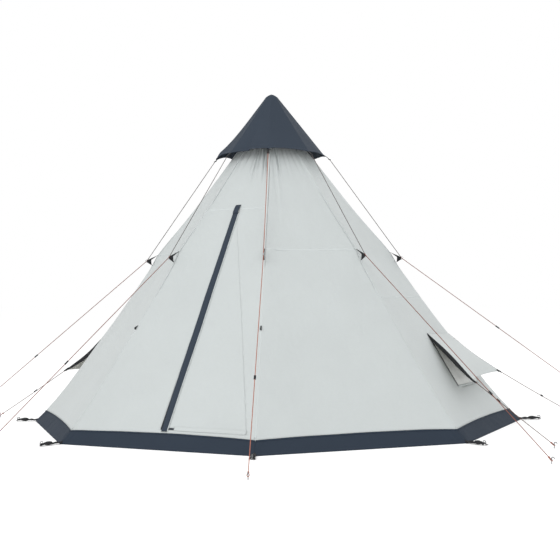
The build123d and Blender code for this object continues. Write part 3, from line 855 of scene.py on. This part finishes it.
def turned(vector, axis, degrees):
    # a vector turned about an axis, by the sum of its parts along, square to and round the axis
    a = math.radians(degrees)
    return vector * math.cos(a) + np.cross(axis, vector) * math.sin(a) + axis * (axis @ vector) * (1 - math.cos(a))


def hoodPoint(name, corner, out=0.006):
    # a corner of a propped hood: the shut hood's corner turned about the hood's upper edge
    face, opening = hoods[name]
    start, place, end = [flatPoint(face, *hoodShape[k], out) for k in (0, corner, 3)]
    return start + turned(place - start, unit(end - start), -opening)


def makeHood(name):
    # straight from the upper edge to the line between the two propped corners, then bowed out over its
    # middle, its side edges hollow and its foot hanging in between the corners, all by sines
    face = hoods[name][0]
    p, q = spread(60, 80)
    (ax, az), (bx, bz) = hoodShape[0], hoodShape[3]
    root = wallPoint(face, ax + (bx - ax) * q, az + (bz - az) * q, 0.0035)
    low = hoodPoint(name, 1) * (1 - q[..., None]) + hoodPoint(name, 2) * q[..., None]
    across = unit(low[0, -1] - low[0, 0])
    normal = unit(np.cross(low[0, -1] - low[0, 0], root[0, 0] - low[0, 0]))
    normal = normal * np.sign(normal @ normalOf(face))
    down = unit(low.mean((0, 1)) - root.mean((0, 1)))
    bow = 0.022 * np.sin(math.pi * p) * np.sin(math.pi * q) - 0.030 * p**3 * np.sin(math.pi * q)
    bow = bow + 0.004 * np.sin(9 * q + 4 * p) * np.sin(math.pi * p)
    hollow = 0.030 * np.sin(math.pi * p) * ((1 - q) ** 6 - q**6)
    lifted = -0.055 * p**4 * np.sin(math.pi * q) ** 0.8
    points = root * (1 - p[..., None]) + low * p[..., None]
    points = points + normal * bow[..., None] + across * hollow[..., None] + down * lifted[..., None]
    shape = gridPart(points[::-1], np.stack([q * 0.86 + 0 * p, p * 0.52 + 0 * q], -1)[::-1])
    # the lining is painted shade: the underside's warm beige stands for the pale cloth in shade with light showing
    # through
    piece = addPiece(f"vent_hood_{name}_cloth", f"vent_hood_{name}", [shape], paleCloth,
                     [f"vent_hood_{name}"], thick=hoodSheet["cloth"], lining=undersideShadeCloth)
    # black webbing turned down along the side edges, and a tab at each corner; the webbing's broad middle is painted
    # shade, a dark band that stands for the shade under the hood's edge
    trims = []
    for column in (0, -1):
        along = tangents(points[:, column])
        inward = unit(-normal + along * (along @ normal)[:, None])
        # the swell to full width in the middle is painted shade under the hood's edge
        width = hoodSheet["webbing"] * (0.35 + 0.65 * np.sin(math.pi * np.clip(p[:, 0] * 1.02, 0, 1)) ** 0.8)
        path = points[:, column] + inward * (width / 2 - 0.001)[:, None]
        trims.append(sweep(path, inward, unit(np.cross(along, inward)), tapeProfile(), width, 0.0045))
    for hood, k, pegRadius, pegAngle, *_ in ventGuys.values():
        if hood == name:
            corner = hoodPoint(name, k)
            pull = unit(polarPoint(pegRadius, pegAngle, pegTop) - corner)
            tab = smoothRoute([corner + pull * far for far in (-0.032, -0.010, 0.004, 0.015)], 6)
            side = unit(np.cross(pull, normal))
            trims.append(sweep(tab, side, unit(np.cross(pull, side)), tapeProfile(), 0.022, 0.0070))
    addPiece(f"vent_trim_{name}", f"vent_hood_{name}", trims, blackWebbing)


def makeVents():
    for name in hoods:
        makeHood(name)
    nets, rims, rimsPale = [], [], []
    (ax, az), (bx, bz), (cx, cz), (dx, dz) = ventHole
    p, q = spread(46, 46)
    x = (ax * (1 - q) + dx * q) * p + (bx * (1 - q) + cx * q) * (1 - p)
    z = (az * (1 - q) + dz * q) * p + (bz * (1 - q) + cz * q) * (1 - p)
    w = np.linspace(0, 1, 40)
    for face, _ in hoods.values():
        nets.append(gridPart(wallPoint(face, x, z, -0.0022), clothUv(x, z)))
        ends = ventHole + ventHole[:1]
        for k, ((x0, z0), (x1, z1)) in enumerate(zip(ends, ends[1:])):
            strip = stripOn(face, x0 + (x1 - x0) * w, z0 + (z1 - z0) * w, 0.010 if k == 0 else 0.012, 0.0012, 0.0030)
            (rims if k == 0 else rimsPale).append(strip)
    addPiece("vent_nets", "tent", nets, ventNet, ["vent_meshes"])
    addPiece("vent_rims", "tent", rims, blackWebbing, ["vent_bindings"])
    addPiece("vent_rims_pale", "tent", rimsPale, seamCloth)
    for name in ventGuys:
        makeVentGuy(name)


def addRunner(name, centre, along):
    # a slider: a rounded bar with a waist and swollen ends, threaded on the cord, and three ribs round it
    side = unit(np.cross(along, up))
    rise = np.cross(side, along)
    k = np.linspace(-1, 1, 25)
    swell = np.sqrt(np.clip(1 - k**8, 0.02, 1)) * (0.80 + 0.20 * np.cos(2 * math.pi * k) ** 2)
    shapes = [sweep(centre + np.outer(k * 0.0180, along), side, rise, roundProfile(14) * [0.0062, 0.0052], swell, swell)]
    for at in (-0.013, 0.0, 0.013):
        shapes.append(wireRing(centre + along * at, side * 0.0068, rise * 0.0058, along, 17, 6, 0.0011, 0.0016))
    return addPiece(f"{name}_slider", name, shapes, blackPlastic, [name])


def knotShape(place, along):
    # three turns of cord round the line, the middle one wider
    side = unit(np.cross(along, up))
    rise = np.cross(side, along)
    turn = np.linspace(0, 6 * math.pi, 60)
    wide = 0.0035 + 0.0009 * np.sin(turn / 6)
    path = place + np.outer(np.cos(turn) * wide, side) + np.outer(np.sin(turn) * wide, rise)
    path = path + np.outer((turn / (6 * math.pi) - 0.5) * 0.011, along)
    out = unit(path - place - np.outer((path - place) @ along, along))
    return sweep(path, out, along, roundProfile(8), 0.0017, 0.0017)


def cordLine(name, route):
    # a curve that starts and ends on the route's ends and leans to the places between
    curve = bpy.data.curves.new(name, "CURVE")
    curve.dimensions = "3D"
    spline = curve.splines.new("NURBS")
    spline.points.add(len(route) - 1)
    spline.points.foreach_set("co", np.concatenate([np.array(route), np.ones((len(route), 1))], 1).ravel())
    spline.order_u = 3
    spline.use_endpoint_u = True
    return curve


def makeVentGuy(name):
    hood, k, pegRadius, pegAngle, share, length = ventGuys[name]
    corner, peg = hoodPoint(hood, k), polarPoint(pegRadius, pegAngle, pegTop)
    pull = unit(peg - corner)
    start = corner + pull * 0.014
    curve = cordLine("ventRoute", [start, start + pull * 0.03, (start + peg) / 2 - up * 0.004, peg - pull * 0.03, peg])
    curve.resolution_u = 24
    holder = bpy.data.objects.new("ventRoute", curve)
    line = bpy.data.meshes.new_from_object(holder)
    path = np.empty(len(line.vertices) * 3)
    line.vertices.foreach_get("co", path)
    path = path.reshape(-1, 3)
    bpy.data.meshes.remove(line)
    bpy.data.objects.remove(holder)
    bpy.data.curves.remove(curve)
    runnerAt = start + (peg - start) * share
    cord = addPiece(f"vent_cord_{name}", "tent", [tubeAlong(path, cordWidth / 2)], ventGuyCord,
                    [f"vent_guy_{name}"], ride=False)
    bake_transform(cord)
    knot = addPiece(f"vent_knot_{name}", f"vent_hood_{hood}", [knotShape(start - pull * 0.002, pull)], ventGuyCord)
    runner = addRunner(f"vent_runner_{name}", runnerAt, pull)


# main guys: the ridge's angle, the peg's radius and angle, the runner's share of the way, the cord's length
guys = {
    "front_right": (22.5, 2.802, 23.3, 0.62, 3.170), "right": (67.5, 2.867, 60.5, 0.72, 3.233),
    "back_right": (112.5, 2.730, 112.5, 0.44, 3.112), "rear_right": (157.5, 2.691, 157.5, 0.55, 3.081),
    "rear_left": (-157.5, 2.691, -157.5, 0.55, 3.081), "back_left": (-112.5, 2.730, -112.5, 0.50, 3.112),
    "left": (-67.5, 2.555, -68.0, 0.60, 2.975), "front_left": (-22.5, 2.535, -22.0, 0.58, 2.959),
}
pegWire = 0.0029
guyPegRoute = [(0, 0, 0.0002), (0, 0, 0.018), (0.0005, 0, 0.033), (0.004, 0, 0.0385), (0.012, 0, 0.0395),
               (0.0185, 0, 0.036), (0.0205, 0, 0.029)]
cornerPegRoute = [(0, 0, 0.0002), (0, 0, 0.016), (-0.001, 0, 0.024), (-0.006, 0, 0.029), (-0.016, 0, 0.029),
                  (-0.022, 0, 0.025)]


def makeGuys():
    # each cord runs from the cap's tab through the patch's ring to its peg
    ends = []  # pegs, and the points their cords come from
    for name, (angle, pegRadius, pegAngle, share, length) in guys.items():
        tab = polarPoint(cap["tabReach"], angle, cap["tabHeight"])
        ring = polarPoint(ridgeLine(patch["ringHeight"]) + patch["ringReach"], angle, patch["ringHeight"])
        peg = polarPoint(pegRadius, pegAngle, pegTop)
        ends.append((pegRadius, pegAngle, ring))
        route = [tab, ring + unit(tab - ring) * 0.030, ring, ring + unit(peg - ring) * 0.030, peg]
        curve = cordLine(f"guy_cord_{name}", route)
        curve.bevel_depth, curve.bevel_resolution, curve.resolution_u = cordWidth / 2, 3, 16
        curve.use_fill_caps = True
        curve.materials.append(orangeCord if name == "front_right" else twoToneCord)
        cord = addObject(f"guy_cord_{name}", curve)
        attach(cord, "tent")
        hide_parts(f"guy_rope_{name}")
        runner = addRunner(f"runner_{name}", ring + (peg - ring) * share, unit(peg - ring))
    ends += [(pegRadius, pegAngle, hoodPoint(hood, k)) for hood, k, pegRadius, pegAngle, *_ in ventGuys.values()]
    pegs, knots = [], []
    for pegRadius, pegAngle, fromPoint in ends:
        out, along = radial(pegAngle), tangential(pegAngle)
        foot = polarPoint(pegRadius, pegAngle, 0.0)
        pegs.append(tubeAlong(routeFrom(foot, out, along, guyPegRoute), pegWire, near=along))
        top = foot + up * pegTop
        back = unit(fromPoint - top)
        side = unit(np.cross(back, up))
        knots.append(wireRing(top + back * 0.006, back * 0.0125, side * 0.0075, np.cross(back, side), 33, 8,
                              0.0018, 0.0018))
        knots.append(knotShape(top + back * 0.026, back))
    addPiece("guy_peg_wire", "tent", pegs, pegSteel, ["guy_pegs"])
    addPiece("guy_peg_knots", "tent", knots, orangeCord)


def makeCorners():
    straps, bodies, wires = [], [], []
    for angle, *_ in guys.values():
        out, side = radial(angle), tangential(angle)
        hem = polarPoint(tent["hemRadius"], angle, 0.0)
        for way in (-1, 1):
            route = routeFrom(hem, out, side * way, [
                (-0.030, 0.004, 0.018), (0.004, 0.006, 0.010), (0.030, 0.0085, 0.012 + 0.003 * way),
                (0.062, 0.005, 0.010), (0.080, 0.002, 0.009)])
            lean = unit(up + side * way * 0.8)
            straps.append(tapeAcross(route, unit(np.cross(tangents(route), lean)), 0.015, 0.0026))
        for way in (-1, 1):
            tail = routeFrom(hem, out, side * way, [
                (0.075, 0.002, 0.014), (0.100, 0.006, 0.017), (0.128, 0.010, 0.010),
                (0.148 + 0.008 * way, 0.014, 0.004)])
            straps.append(tapeAcross(tail, unit(np.cross(tangents(tail), up)), 0.014, 0.0024))
        # the tightener: a tapered moulded bar on the strap, under the strap's folded tail
        q = np.linspace(0, 1, 26)
        path = hem + np.outer(0.056 + 0.092 * q, out) + np.outer(0.0145 - 0.001 * q, up)
        width = 0.0125 + 0.0055 * np.sin(math.pi * np.clip(q * 1.4, 0, 1)) - 0.009 * np.clip(q - 0.4, 0, 1)
        width = width * np.sqrt(np.clip(1 - (2 * q - 1) ** 10, 0.05, 1))
        bodies.append(sweep(path, side, up, roundProfile(14) * [1.0, 0.75], width, width))
        wires.append(tubeAlong(routeFrom(hem + out * 0.150, out, side, cornerPegRoute), pegWire, near=side))
    addPiece("corner_strap_webbing", "tent", straps, blackWebbing, ["corner_straps"])
    addPiece("strap_tighteners", "tent", bodies, blackPlastic, ["strap_buckles"])
    addPiece("corner_peg_wire", "tent", wires, pegSteel, ["corner_pegs"])


def finishCad():
    # the pieces kept as the design has them get their finish
    finishes = {"patch_rings": ringSteel, "pole_foot": poleRubber, "pole_lower": polePaint, "pole_middle": polePaint,
                "pole_upper": polePaint, "pole_top": blackPlastic, "zip_slider": zipMetal, "zip_pull": zipMetal}
    for name, material in finishes.items():
        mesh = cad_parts[name].data
        mesh.materials.clear()
        mesh.materials.append(material)


makeView()
print("view done")
makeGuys()
print("guys and pegs done")
makeWalls()
makeSeams()
print("walls done")
makeDoor()
makeStormFlap()
makeZip()
print("door done")
makeSkirt()
makeGroundsheet()
makeCap()
makeCollar()
print("skirt, floor and cap done")
makePatches()
makeVents()
print("patches and vents done")
makeCorners()
finishCad()
makeFloor()
